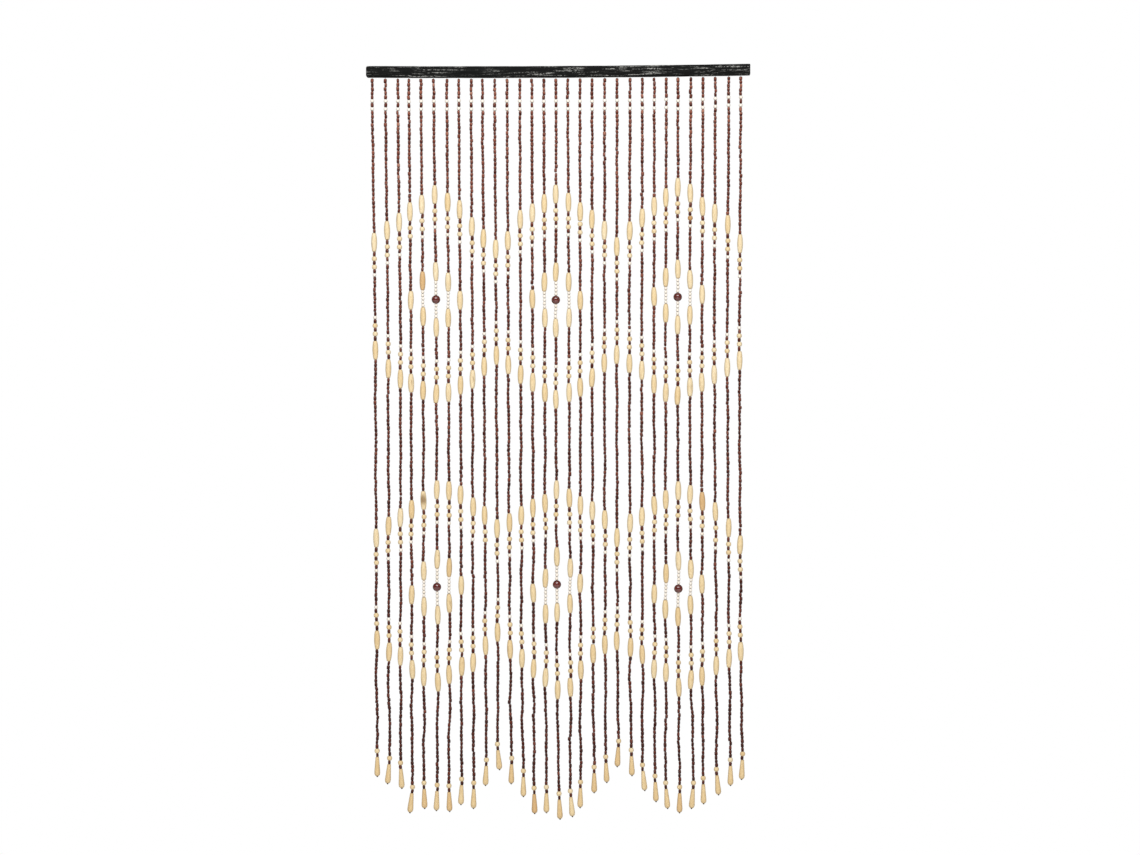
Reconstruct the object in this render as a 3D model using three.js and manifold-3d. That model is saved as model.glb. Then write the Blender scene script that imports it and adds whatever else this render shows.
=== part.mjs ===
// A bead curtain: a black wooden header bar and the thirty-one strings of beads that hang from it.
// Millimetres, +Z up. The origin is in the middle of the bar's flat back face; the front of the curtain looks towards -Y.
//
// The strings are one comb. Its spine is the cord run that lies in a groove along the top of the bar, and each tooth is a
// string that goes down through its hole and swells where its beads do: thin runs of brown beads, a barrel in each of the
// four zigzag rows, the barrels and the large bead of each eye, and the drop that weighs the string down.
import * as THREE from "three";
import { mergeVertices } from "three/addons/utils/BufferGeometryUtils.js";
import Module from "manifold-3d";

const wasm = await Module();
wasm.setup();

// ---------------------------------------------------------------- the header bar
const BAR_LENGTH = 900;
const BAR_HEIGHT = 25.5;
const BAR_DEPTH = 20;
const BAR_LOWEST_X = -230; // the batten is slightly bowed: this is where it hangs lowest
const BAR_RISE = 5.8; // and its right end is this much higher
const CORNER_LEFT = 4.5; // its left end is rounded over, its right end almost square
const CORNER_RIGHT = 2;
const GROOVE_WIDTH = 4.4; // along the middle of the top, for the cord run
const GROOVE_DEPTH = 4.2;
const HOLE_RADIUS = 1.9; // one below the groove for each string

// ---------------------------------------------------------------- the strings
const STRING_Y = -BAR_DEPTH / 2;
const CORD = 2; // the cord run's width and height
const CORD_RADIUS = 1.1; // a string where it is bare
const GAP = 0.5; // under the cord run, which lies just off the groove's floor
const BARE = 3; // string showing between the bar and the first bead
const SIDES = 5;

// ---------------------------------------------------------------- what is strung on them
const RUN_RADIUS = 3.3; // a run of brown beads
const WHITE_RADIUS = 4; // a run of small white beads
const BARREL_LENGTH = 44;
const BARREL_RADIUS = 7.1;
const BARREL_SHOULDER = 13; // from a barrel's end to its full thickness
const EYE_LENGTH = 19.4;
const EYE_RADIUS = 10.2;
const EYE_SHOULDER = 5.4;
const DROP_LENGTH = 47;
const DROP_RADIUS = 7.1;
const DROP_WIDEST = 11; // above the drop's tip
const TIP_RADIUS = 3;
const KNOT = 3; // the knot below the tip

// An eye is one large bead with a barrel above and below it, then on each side a pair of barrels and a single one.
const EYE_REACH = 65.5; // from the large bead's middle to that of the barrel above or below it
const PAIR_REACH = 42; // the same for the strings on its two sides, which have white beads between

// A row for each string, from left to right. Along x: the string at the bar, half-way, low down, at the ball above the
// drop and at the drop's tip. Along z: the middle of its barrel in the rows a to d, and the drop's tip.
const STRING_COLUMNS = ["bar", "half", "low", "ball", "tip", "a", "b", "c", "d", "end"];
const STRINGS = [
  [-436, -428.5, -425.5, -424, -424, -399, -652, -1092, -1331, -1652],
  [-405, -398.5, -397, -395, -400, -371, -695, -1064, -1359, -1669],
  [-376, -369.5, -369.5, -369.5, -366.5, -352, -719, -1044, -1369, -1680],
  [-350, -345, -343, -341.5, -347.5, -327, -729, -1025, -1400, -1737],
  [-321.5, -316.5, -314.5, -314.5, -313, -310, -746, -1004, -1417, -1727],
  [-292, -285.5, -282.5, -283.5, -285.5, -287, -754, -979, -1430, -1732],
  [-261, -257, -254.5, -256, -254.5, -305, -751, -981, -1412, -1734],
  [-233, -229, -227, -226, -228, -322, -734, -991, -1393, -1718],
  [-204, -201, -199.5, -197.5, -198.5, -362, -720, -1019, -1384, -1727],
  [-177.5, -173.5, -170, -168, -170.5, -390, -690, -1039, -1344, -1673],
  [-149, -145, -141, -142.5, -137.5, -415, -664, -1070, -1313, -1636],
  [-120, -117, -112.5, -109, -110, -395, -686, -1056, -1353, -1669],
  [-90, -88, -85.5, -81.5, -81.5, -345, -709, -1039, -1374, -1699],
  [-61.5, -60, -57.5, -56.5, -55, -330, -727, -1022, -1398, -1739],
  [-33.5, -31.5, -29, -27.5, -27.5, -308, -751, -1011, -1419, -1737],
  [-5, -5.5, -2.5, 2, 4.5, -286, -767, -979, -1448, -1752],
  [22.5, 25.5, 28.5, 28.5, 33.5, -305, -751, -998, -1442, -1746],
  [51, 52, 52.5, 52.5, 51.5, -327, -739, -1016, -1401, -1725],
  [79.5, 79.5, 82, 84.5, 84.5, -345, -716, -1028, -1363, -1690],
  [109, 108.5, 110.5, 111.5, 114, -371, -682, -1049, -1342, -1666],
  [138, 137.5, 138.5, 142, 138.5, -409, -662, -1091, -1333, -1629],
  [168.5, 167, 169, 171.5, 173, -372, -683, -1057, -1348, -1650],
  [197.5, 196, 197.5, 197.5, 203, -342, -699, -1042, -1365, -1685],
  [225.5, 224.5, 226, 227, 229.5, -315, -731, -1016, -1399, -1711],
  [253.5, 252, 252.5, 252, 256.5, -294, -751, -1002, -1407, -1727],
  [281, 280, 282, 285, 284.5, -270, -758, -981, -1442, -1737],
  [311, 308.5, 311.5, 317.5, 312.5, -284, -738, -990, -1424, -1727],
  [339.5, 337, 338, 340, 341, -315, -727, -1006, -1416, -1716],
  [368.5, 366, 371, 371, 376, -331, -709, -1030, -1391, -1695],
  [400, 396.5, 401, 404, 404, -357, -692, -1068, -1374, -1673],
  [428.5, 425, 428, 432.5, 430, -402, -676, -1108, -1358, -1659],
];

// A row for each eye: the string with the large bead, that bead's height, and how much higher the middle of the eye is on
// the two strings to the left and the two to the right.
const EYE_COLUMNS = ["string", "z", "left2", "left1", "right1", "right2"];
const EYES = [
  [5, -533, -2, 2, -1, -2],
  [15, -534, 2, 0, 0, -1],
  [25, -527, 1, 4, -1, 6],
  [5, -1207, -18, -4, 4, 4],
  [15, -1201, -20, -27, -3, 3],
  [25, -1211, -12, -6, 4, 11],
];

// Heights at which the table gives a string's place along x; the ball is this far above the drop's tip.
const HALF_Z = -650;
const LOW_Z = -1415;
const BALL_ABOVE_TIP = 61;

const named = (columns, rows) =>
  rows.map((row) => Object.fromEntries(columns.map((c, k) => [c, row[k]])));
const strings = named(STRING_COLUMNS, STRINGS);
const eyes = named(EYE_COLUMNS, EYES);

// ---------------------------------------------------------------- shapes
// How far the bowed bar is raised at x.
const bow = (x) =>
  BAR_RISE * ((x - BAR_LOWEST_X) / (BAR_LENGTH / 2 - BAR_LOWEST_X)) ** 2;

// A strip that follows the bow from x0 to x1 and from low to high, with rounded left and right ends, as thick as depth and
// centred on y.
function bowedStrip(x0, x1, low, high, depth, y, leftRadius = 0, rightRadius = 0) {
  const STEPS = 12;
  const CORNER_STEPS = 4;
  const outline = [];
  const corner = (cx, cz, r, from) => {
    if (!r) return outline.push([cx, cz]);
    for (let k = 0; k <= CORNER_STEPS; k++) {
      const a = from + (k * Math.PI) / 2 / CORNER_STEPS;
      outline.push([cx + r * Math.cos(a), cz + r * Math.sin(a)]);
    }
  };
  const edge = (from, to, z) => {
    for (let k = 1; k < STEPS; k++)
      outline.push([from + ((to - from) * k) / STEPS, z]);
  };
  const [l, r] = [leftRadius, rightRadius];
  corner(x0 + l, low + l, l, Math.PI);
  edge(x0 + l, x1 - r, low);
  corner(x1 - r, low + r, r, -Math.PI / 2);
  corner(x1 - r, high - r, r, 0);
  edge(x1 - r, x0 + l, high);
  corner(x0 + l, high - l, l, Math.PI / 2);
  const shape = new THREE.Shape(
    outline.map(([x, z]) => new THREE.Vector2(x, z + bow(x))),
  );
  return new THREE.ExtrudeGeometry(shape, {
    depth,
    steps: 1,
    bevelEnabled: false,
  })
    .rotateX(Math.PI / 2)
    .translate(0, y + depth / 2, 0);
}

// A hole's core through the bar at x.
function drill(x) {
  const height = BAR_HEIGHT + 10;
  return new THREE.CylinderGeometry(HOLE_RADIUS, HOLE_RADIUS, height, 8)
    .rotateX(Math.PI / 2)
    .translate(x, STRING_Y, bow(x));
}

// Where a string is along x at height z: a smooth line through the places in its table row.
function lineOf(s) {
  const stops = [
    [BAR_HEIGHT, s.bar],
    [-BAR_HEIGHT, s.bar],
    [HALF_Z, s.half],
    [LOW_Z, s.low],
    [s.end + BALL_ABOVE_TIP, s.ball],
    [s.end, s.tip],
  ];
  return (z) => {
    let k = 1;
    while (k < stops.length - 1 && z < stops[k][0]) k++;
    const [[z0, x0], [z1, x1]] = [stops[k - 1], stops[k]];
    const t = Math.min(1, Math.max(0, (z - z0) / (z1 - z0)));
    const eased = k === stops.length - 1 ? t : t * t * (3 - 2 * t);
    return x0 + (x1 - x0) * (0.5 * t + 0.5 * eased);
  };
}

// The outline of a thing on a string, from top to bottom, as [radius, z] pairs.
const barrel = (z) => [
  [RUN_RADIUS, z + BARREL_LENGTH / 2],
  [BARREL_RADIUS, z + BARREL_LENGTH / 2 - BARREL_SHOULDER],
  [BARREL_RADIUS, z - BARREL_LENGTH / 2 + BARREL_SHOULDER],
  [RUN_RADIUS, z - BARREL_LENGTH / 2],
];
const largeBead = (z) => [
  [WHITE_RADIUS, z + EYE_LENGTH / 2],
  [EYE_RADIUS, z + EYE_LENGTH / 2 - EYE_SHOULDER],
  [EYE_RADIUS, z - EYE_LENGTH / 2 + EYE_SHOULDER],
  [WHITE_RADIUS, z - EYE_LENGTH / 2],
];
const drop = (tip) => [
  [RUN_RADIUS, tip + DROP_LENGTH],
  [DROP_RADIUS, tip + DROP_WIDEST],
  [TIP_RADIUS, tip],
  [CORD_RADIUS, tip - KNOT],
];

// What the eyes put on string i.
function eyeParts(i) {
  return eyes.flatMap((e) => {
    const d = i - e.string;
    if (d === 0)
      return [
        ...barrel(e.z + EYE_REACH),
        ...largeBead(e.z),
        ...barrel(e.z - EYE_REACH),
      ];
    if (Math.abs(d) === 1) {
      const z = e.z + (d < 0 ? e.left1 : e.right1);
      return [...barrel(z + PAIR_REACH), ...barrel(z - PAIR_REACH)];
    }
    if (Math.abs(d) === 2) return barrel(e.z + (d < 0 ? e.left2 : e.right2));
    return [];
  });
}

// A string with all that is on it, from the cord run down to its knot: its outline turned round the string, then moved
// along x to where the string hangs at each height.
function stringGeometry(s, i) {
  const cordRun = bow(s.bar) + BAR_HEIGHT / 2 - GROOVE_DEPTH + GAP + CORD / 2;
  const firstBead = bow(s.bar) - BAR_HEIGHT / 2 - BARE;
  const outline = [
    [CORD_RADIUS, cordRun],
    [CORD_RADIUS, firstBead],
    [RUN_RADIUS, firstBead - 2],
    ...[
      ...["a", "b", "c", "d"].flatMap((row) => barrel(s[row])),
      ...eyeParts(i),
    ].sort((p, q) => q[1] - p[1]),
    ...drop(s.end),
  ];
  const closed = [
    [0, outline[0][1]],
    ...outline,
    [0, outline.at(-1)[1]],
  ].reverse();
  const geometry = new THREE.LatheGeometry(
    closed.map(([r, z]) => new THREE.Vector2(r, z)),
    SIDES,
    Math.PI,
  ).rotateX(Math.PI / 2);
  const x = lineOf(s);
  const p = geometry.getAttribute("position");
  for (let k = 0; k < p.count; k++)
    p.setXYZ(k, p.getX(k) + x(p.getZ(k)), p.getY(k) + STRING_Y, p.getZ(k));
  return geometry;
}

// ---------------------------------------------------------------- joining and cutting
function toSolid(geometry) {
  const g = geometry.clone();
  g.deleteAttribute("normal");
  g.deleteAttribute("uv");
  const merged = mergeVertices(g, 1e-4);
  const triVerts = [];
  const index = merged.index.array;
  for (let k = 0; k < index.length; k += 3) {
    const [a, b, c] = [index[k], index[k + 1], index[k + 2]];
    if (a !== b && b !== c && a !== c) triVerts.push(a, b, c);
  }
  return new wasm.Manifold(
    new wasm.Mesh({
      numProp: 3,
      vertProperties: merged.getAttribute("position").array,
      triVerts: new Uint32Array(triVerts),
    }),
  );
}

function toGeometry(solid) {
  const m = solid.getMesh();
  const points = new Float32Array(m.numVert * 3);
  for (let k = 0; k < m.numVert; k++)
    points.set(m.vertProperties.subarray(k * m.numProp, k * m.numProp + 3), k * 3);
  const g = new THREE.BufferGeometry();
  g.setAttribute("position", new THREE.BufferAttribute(points, 3));
  g.setIndex(new THREE.BufferAttribute(new Uint32Array(m.triVerts), 1));
  g.computeVertexNormals();
  return g;
}

const top = BAR_HEIGHT / 2;
const [left, right] = [-BAR_LENGTH / 2, BAR_LENGTH / 2];

// The bar: the batten, less the groove that runs out at both ends short of them, less the holes.
const GROOVE_ENDS = 8; // solid wood at each end of the groove
let bar = toSolid(
  bowedStrip(left, right, -top, top, BAR_DEPTH, STRING_Y, CORNER_LEFT, CORNER_RIGHT),
).subtract(
  toSolid(
    bowedStrip(
      left + GROOVE_ENDS,
      right - GROOVE_ENDS,
      top - GROOVE_DEPTH,
      top + 5,
      GROOVE_WIDTH,
      STRING_Y,
    ),
  ),
);
for (const s of strings) bar = bar.subtract(toSolid(drill(s.bar)));

// The comb: the cord run and the strings, joined.
const RUN_PAST = 2; // the cord run ends this far past the first and last string
let comb = toSolid(
  bowedStrip(
    strings[0].bar - RUN_PAST,
    strings.at(-1).bar + RUN_PAST,
    top - GROOVE_DEPTH + GAP,
    top - GROOVE_DEPTH + GAP + CORD,
    CORD,
    STRING_Y,
  ),
);
strings.forEach((s, i) => {
  comb = comb.add(toSolid(stringGeometry(s, i)));
});

// ---------------------------------------------------------------- the object
const blackPaintedWood = new THREE.MeshStandardMaterial({
  color: 0x1c1d1c,
  roughness: 0.62,
  metalness: 0,
});
const polishedBrownWood = new THREE.MeshStandardMaterial({
  color: 0x5a2620,
  roughness: 0.38,
  metalness: 0,
});

function piece(name, solid, material) {
  const mesh = new THREE.Mesh(toGeometry(solid), material);
  mesh.name = name;
  return mesh;
}

const curtain = new THREE.Group();
curtain.add(piece("header_bar", bar, blackPaintedWood));
curtain.add(piece("string_comb", comb, polishedBrownWood));

export default curtain;
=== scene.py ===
import math

import bpy
import bmesh
import numpy as np
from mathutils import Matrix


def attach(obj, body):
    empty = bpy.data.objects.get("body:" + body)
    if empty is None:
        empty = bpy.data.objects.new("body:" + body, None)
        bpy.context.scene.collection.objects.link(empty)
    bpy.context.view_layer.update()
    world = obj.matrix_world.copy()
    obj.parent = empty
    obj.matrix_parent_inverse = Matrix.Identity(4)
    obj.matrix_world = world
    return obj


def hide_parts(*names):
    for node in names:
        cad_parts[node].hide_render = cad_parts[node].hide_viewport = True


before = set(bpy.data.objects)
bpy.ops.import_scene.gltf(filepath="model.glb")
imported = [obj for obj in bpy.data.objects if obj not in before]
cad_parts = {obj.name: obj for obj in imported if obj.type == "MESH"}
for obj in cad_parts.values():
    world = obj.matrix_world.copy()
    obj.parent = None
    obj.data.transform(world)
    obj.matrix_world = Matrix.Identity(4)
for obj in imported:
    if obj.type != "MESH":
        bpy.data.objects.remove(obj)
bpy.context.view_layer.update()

MM = 0.001

# ---------------------------------------------------------------- sizes, in millimetres, as in the part's source
BAR_LENGTH = 900
BAR_HEIGHT = 25.5
BAR_DEPTH = 20
BAR_LOWEST_X = -230
BAR_RISE = 5.8
CORNER_LEFT = 4.5
CORNER_RIGHT = 2
GROOVE_WIDTH = 4.4
GROOVE_DEPTH = 4.2
GROOVE_ENDS = 8
HOLE_RADIUS = 1.9
STRING_Y = -BAR_DEPTH / 2
BARE = 3  # string showing between the bar and the first bead

BROWN_PITCH = 9.5
BROWN_RADIUS = 3.6
BARREL_LENGTH = 44
BARREL_RADIUS = 7.0
BALL_HEIGHT = 10.7
BALL_RADIUS = 6.1
WHITE_HEIGHT = 8.2
WHITE_RADIUS = 4.5
EYE_WHITE_RADIUS = 3.9
EYE_LENGTH = 19.4
EYE_RADIUS = 10.1
DROP_LENGTH = 45
DROP_FOOT = 2  # from the lowest point of a string to the foot of its drop: the height of the knot
DROP_RADIUS = 6.9
DROP_WIDEST = 8.6
CORD_RADIUS = 0.5

# In a zigzag row, from the barrel's end to the middle of each thing beside it, with one brown bead between each two.
FIRST_BALL = 16.4
SECOND_BALL = 35.9
ROW_WHITE = 54.6
# Near the bar, below its middle: two white beads with a brown one between them.
TOP_WHITES = (68.3, 87.1)
# An eye: from its middle to that of the barrels above and below it, and the same on the strings beside it.
EYE_REACH = 65.5
PAIR_REACH = 42
BALL_ABOVE_TIP = 61
HALF_Z = -650
LOW_Z = -1415

STRING_COLUMNS = ("bar", "half", "low", "ball", "tip", "a", "b", "c", "d", "end")
STRINGS = (
    (-436, -428.5, -425.5, -424, -424, -399, -652, -1092, -1331, -1652),
    (-405, -398.5, -397, -395, -400, -371, -695, -1064, -1359, -1669),
    (-376, -369.5, -369.5, -369.5, -366.5, -352, -719, -1044, -1369, -1680),
    (-350, -345, -343, -341.5, -347.5, -327, -729, -1025, -1400, -1737),
    (-321.5, -316.5, -314.5, -314.5, -313, -310, -746, -1004, -1417, -1727),
    (-292, -285.5, -282.5, -283.5, -285.5, -287, -754, -979, -1430, -1732),
    (-261, -257, -254.5, -256, -254.5, -305, -751, -981, -1412, -1734),
    (-233, -229, -227, -226, -228, -322, -734, -991, -1393, -1718),
    (-204, -201, -199.5, -197.5, -198.5, -362, -720, -1019, -1384, -1727),
    (-177.5, -173.5, -170, -168, -170.5, -390, -690, -1039, -1344, -1673),
    (-149, -145, -141, -142.5, -137.5, -415, -664, -1070, -1313, -1636),
    (-120, -117, -112.5, -109, -110, -395, -686, -1056, -1353, -1669),
    (-90, -88, -85.5, -81.5, -81.5, -345, -709, -1039, -1374, -1699),
    (-61.5, -60, -57.5, -56.5, -55, -330, -727, -1022, -1398, -1739),
    (-33.5, -31.5, -29, -27.5, -27.5, -308, -751, -1011, -1419, -1737),
    (-5, -5.5, -2.5, 2, 4.5, -286, -767, -979, -1448, -1752),
    (22.5, 25.5, 28.5, 28.5, 33.5, -305, -751, -998, -1442, -1746),
    (51, 52, 52.5, 52.5, 51.5, -327, -739, -1016, -1401, -1725),
    (79.5, 79.5, 82, 84.5, 84.5, -345, -716, -1028, -1363, -1690),
    (109, 108.5, 110.5, 111.5, 114, -371, -682, -1049, -1342, -1666),
    (138, 137.5, 138.5, 142, 138.5, -409, -662, -1091, -1333, -1629),
    (168.5, 167, 169, 171.5, 173, -372, -683, -1057, -1348, -1650),
    (197.5, 196, 197.5, 197.5, 203, -342, -699, -1042, -1365, -1685),
    (225.5, 224.5, 226, 227, 229.5, -315, -731, -1016, -1399, -1711),
    (253.5, 252, 252.5, 252, 256.5, -294, -751, -1002, -1407, -1727),
    (281, 280, 282, 285, 284.5, -270, -758, -981, -1442, -1737),
    (311, 308.5, 311.5, 317.5, 312.5, -284, -738, -990, -1424, -1727),
    (339.5, 337, 338, 340, 341, -315, -727, -1006, -1416, -1716),
    (368.5, 366, 371, 371, 376, -331, -709, -1030, -1391, -1695),
    (400, 396.5, 401, 404, 404, -357, -692, -1068, -1374, -1673),
    (428.5, 425, 428, 432.5, 430, -402, -676, -1108, -1358, -1659),
)
EYE_COLUMNS = ("string", "z", "left2", "left1", "right1", "right2")
EYES = (
    (5, -533, -2, 2, -1, -2),
    (15, -534, 2, 0, 0, -1),
    (25, -527, 1, 4, -1, 6),
    (5, -1207, -18, -4, 4, 4),
    (15, -1201, -20, -27, -3, 3),
    (25, -1211, -12, -6, 4, 11),
)
# Where the threading of a row differs from the others: the string, its row, the thing concerned and what is done.
ODD_COLUMNS = ("string", "row", "thing", "change")
ODD = (
    (3, "a", "white", "none"),
    (17, "a", "first brown", "none"),
    (9, "c", "white", "none"),
    (18, "d", "white", "none"),
    (28, "c", "middle browns", "two"),
    (26, "a", "second ball", "orange"),
)
# Strings whose two small white beads by the bar hang lower than the others' (or higher: below zero).
LOWER_COLUMNS = ("string", "lower")
LOWER = (
    (3, 1.4),
    (7, -1.6),
    (14, 0.9),
    (17, 1.0),
    (18, 1.2),
    (24, -1.0),
    (25, 2.5),
    (26, 1.0),
    (28, -1.9),
    (29, -4.3),
    (30, -3.9),
)
# Where the beads haven't slid together: the string, the thing below the gap, how many brown beads lie between them, and
# how far the string shows.
SLACK_COLUMNS = ("string", "below", "beads", "gap")
SLACK = (
    (3, "a", 2, 1.9),
    (13, "eye 1 side", 1, 2.2),
    (18, "d", 3, 1.4),
)
# Barrels whose wood is marked: the string, the row (or the eye, and top, bottom or side), and the mark.
MARK_COLUMNS = ("string", "place", "mark")
MARKS = (
    (4, "c", "bark"),
    (3, "b", "streak"),
    (8, "b", "streak"),
    (26, "b", "streak"),
    (4, "eye 0 top", "tan"),
    (5, "eye 3 top", "spot"),
    (6, "eye 3 bottom", "streak"),
    (7, "d", "spot"),
    (7, "a", "spot"),
    (27, "c", "tan"),
    (13, "end", "tan"),
)


def named(columns, rows):
    return [dict(zip(columns, row)) for row in rows]


strings = named(STRING_COLUMNS, STRINGS)
eyes = named(EYE_COLUMNS, EYES)
odd = {(o["string"], o["row"], o["thing"]): o["change"] for o in named(ODD_COLUMNS, ODD)}
marks = {(m["string"], m["place"]): m["mark"] for m in named(MARK_COLUMNS, MARKS)}
slack = {(k["string"], k["below"]): (k["beads"], k["gap"]) for k in named(SLACK_COLUMNS, SLACK)}
lower = {k["string"]: k["lower"] for k in named(LOWER_COLUMNS, LOWER)}


def bow(x):
    return BAR_RISE * ((x - BAR_LOWEST_X) / (BAR_LENGTH / 2 - BAR_LOWEST_X)) ** 2


# ---------------------------------------------------------------- node helpers
def new_material(name):
    m = bpy.data.materials.new(name)
    m.use_nodes = True
    nt = m.node_tree
    nt.nodes.clear()
    out = nt.nodes.new("ShaderNodeOutputMaterial")
    bsdf = nt.nodes.new("ShaderNodeBsdfPrincipled")
    nt.links.new(bsdf.outputs[0], out.inputs[0])
    return m, nt, bsdf


def add(nt, kind, **values):
    n = nt.nodes.new(kind)
    for k, v in values.items():
        setattr(n, k, v)
    return n


def link(nt, a, b):
    nt.links.new(a, b)


def vector_scale(nt, source, scale):
    n = add(nt, "ShaderNodeVectorMath", operation="MULTIPLY")
    link(nt, source, n.inputs[0])
    n.inputs[1].default_value = scale
    return n.outputs[0]


def noise(nt, source, scale=1.0, detail=2.0, roughness=0.5, distortion=0.0):
    n = add(nt, "ShaderNodeTexNoise")
    link(nt, source, n.inputs["Vector"])
    n.inputs["Scale"].default_value = scale
    n.inputs["Detail"].default_value = detail
    n.inputs["Roughness"].default_value = roughness
    n.inputs["Distortion"].default_value = distortion
    return n.outputs["Fac"]


def ramp(nt, source, *stops, interpolation="LINEAR"):
    n = add(nt, "ShaderNodeValToRGB")
    n.color_ramp.interpolation = interpolation
    e = n.color_ramp.elements
    while len(e) < len(stops):
        e.new(0.5)
    for element, (at, colour) in zip(e, stops):
        element.position = at
        element.color = (*colour, 1) if hasattr(colour, "__len__") else (colour, colour, colour, 1)
    link(nt, source, n.inputs[0])
    return n.outputs[0]


def mix(nt, factor, a, b, blend="MIX"):
    n = add(nt, "ShaderNodeMix", data_type="RGBA", blend_type=blend, clamp_factor=True)
    for socket, value in ((n.inputs[0], factor), (n.inputs[6], a), (n.inputs[7], b)):
        if isinstance(value, bpy.types.NodeSocket):
            link(nt, value, socket)
        elif hasattr(value, "__len__"):
            socket.default_value = (*value, 1)
        else:
            socket.default_value = value
    return n.outputs[2]


def span(nt, source, low, high, to_low=0.0, to_high=1.0):
    n = add(nt, "ShaderNodeMapRange", clamp=True)
    link(nt, source, n.inputs[0])
    for k, v in enumerate((low, high, to_low, to_high), 1):
        n.inputs[k].default_value = v
    return n.outputs[0]


def attribute(nt, name):
    return add(nt, "ShaderNodeAttribute", attribute_type="GEOMETRY", attribute_name=name)


def parts_of(nt, vector):
    n = add(nt, "ShaderNodeSeparateXYZ")
    link(nt, vector, n.inputs[0])
    return n.outputs


def maths(nt, operation, a, b=None):
    n = add(nt, "ShaderNodeMath", operation=operation)
    for socket, value in zip(n.inputs, (a, b)):
        if isinstance(value, bpy.types.NodeSocket):
            link(nt, value, socket)
        elif value is not None:
            socket.default_value = value
    return n.outputs[0]


def bump(nt, bsdf, height, strength, distance):
    n = add(nt, "ShaderNodeBump")
    n.inputs["Strength"].default_value = strength
    n.inputs["Distance"].default_value = distance
    link(nt, height, n.inputs["Height"])
    link(nt, n.outputs[0], bsdf.inputs["Normal"])


# ---------------------------------------------------------------- materials
# Every bead carries, at its points, "local" (a place in its own wood, in millimetres), "along" (-1 at its lower end, 1 at
# its upper) and "tint" (three numbers from 0 to 1 for its colour).
def stained_wood():
    m, nt, bsdf = new_material("stained_bead_wood")
    local = attribute(nt, "local").outputs["Vector"]
    tint = parts_of(nt, attribute(nt, "tint").outputs["Vector"])
    along = attribute(nt, "along").outputs["Fac"]
    base = ramp(
        nt,
        tint[0],
        (0.0, (0.038, 0.0080, 0.0055)),
        (0.25, (0.085, 0.0180, 0.0115)),
        (0.50, (0.145, 0.0330, 0.0205)),
        (0.75, (0.220, 0.0590, 0.0370)),
        (0.90, (0.330, 0.1080, 0.0680)),
        (1.0, (0.460, 0.2050, 0.1400)),
    )
    grain = noise(nt, vector_scale(nt, local, (1.6, 1.6, 0.22)), detail=3.0, roughness=0.6)
    streaked = mix(nt, span(nt, grain, 0.38, 0.66, 0.0, 0.60), base, (0.034, 0.0068, 0.0050))
    # Where the stain has worn thin the beads are rosier; that the upper beads have more of it is painted light,
    # standing in for the stronger light there.
    patch = noise(nt, local, scale=0.35, detail=1.0)
    amount = maths(nt, "MULTIPLY", span(nt, patch, 0.50, 0.72), span(nt, tint[1], 0.35, 1.0, 0.05, 0.75))
    worn = mix(nt, amount, streaked, (0.450, 0.2000, 0.1400))
    # Painted highlight and painted shade: the upper shoulder of each bead is paler and rosier and its lower end darker,
    # as if lit from above.
    shoulder = maths(nt, "MULTIPLY", span(nt, along, 0.10, 0.55), span(nt, along, 0.98, 0.80))
    painted_shoulder_highlight = mix(nt, maths(nt, "MULTIPLY", shoulder, span(nt, tint[2], 0.0, 1.0, 0.06, 0.42)), worn, (0.480, 0.2200, 0.1500))
    foot = mix(nt, span(nt, along, -0.15, -0.85, 0.0, 0.72), painted_shoulder_highlight, (0.026, 0.0048, 0.0036))
    # Painted shade, with some dirt, at the upper end of each bead, where it meets the one above.
    ends = mix(nt, span(nt, along, 0.86, 1.0, 0.0, 0.80), foot, (0.024, 0.0042, 0.0030))
    link(nt, ends, bsdf.inputs["Base Color"])
    link(nt, span(nt, grain, 0.3, 0.7, 0.24, 0.40), bsdf.inputs["Roughness"])
    bsdf.inputs["Specular IOR Level"].default_value = 0.20
    bump(nt, bsdf, grain, 0.25, 0.0002)
    return m


def pale_wood():
    m, nt, bsdf = new_material("pale_bead_wood")
    local = attribute(nt, "local").outputs["Vector"]
    tint = parts_of(nt, attribute(nt, "tint").outputs["Vector"])
    mark = parts_of(nt, attribute(nt, "mark").outputs["Vector"])
    along = maths(nt, "ABSOLUTE", attribute(nt, "along").outputs["Fac"])
    base = ramp(
        nt,
        tint[0],
        (0.0, (0.820, 0.705, 0.480)),
        (0.35, (0.775, 0.620, 0.365)),
        (0.70, (0.715, 0.530, 0.280)),
        (0.90, (0.620, 0.400, 0.190)),
        (1.0, (0.460, 0.240, 0.088)),
    )
    fine = noise(nt, vector_scale(nt, local, (1.9, 1.9, 0.10)), detail=3.0, roughness=0.55)
    broad = noise(nt, vector_scale(nt, local, (0.30, 0.30, 0.035)), detail=2.0, distortion=0.4)
    grain = mix(nt, span(nt, fine, 0.44, 0.64, 0.0, 0.50), base, (0.53, 0.345, 0.155))
    figured = mix(nt, span(nt, broad, 0.45, 0.70, 0.0, 0.34), grain, (0.58, 0.370, 0.160))
    # A mark: a dark streak along the grain, bark left on, or a small knot
    wander = maths(nt, "ADD", mark[0], maths(nt, "MULTIPLY", fine, 0.35))
    streak = mix(nt, span(nt, wander, 0.62, 1.05, 0.0, 0.75), figured, (0.20, 0.105, 0.040))
    ends = mix(nt, span(nt, along, 0.86, 1.0, 0.0, 0.40), streak, (0.36, 0.215, 0.090))
    link(nt, ends, bsdf.inputs["Base Color"])
    link(nt, span(nt, fine, 0.3, 0.7, 0.34, 0.50), bsdf.inputs["Roughness"])
    bsdf.inputs["Specular IOR Level"].default_value = 0.42
    bump(nt, bsdf, fine, 0.20, 0.0002)
    return m


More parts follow.
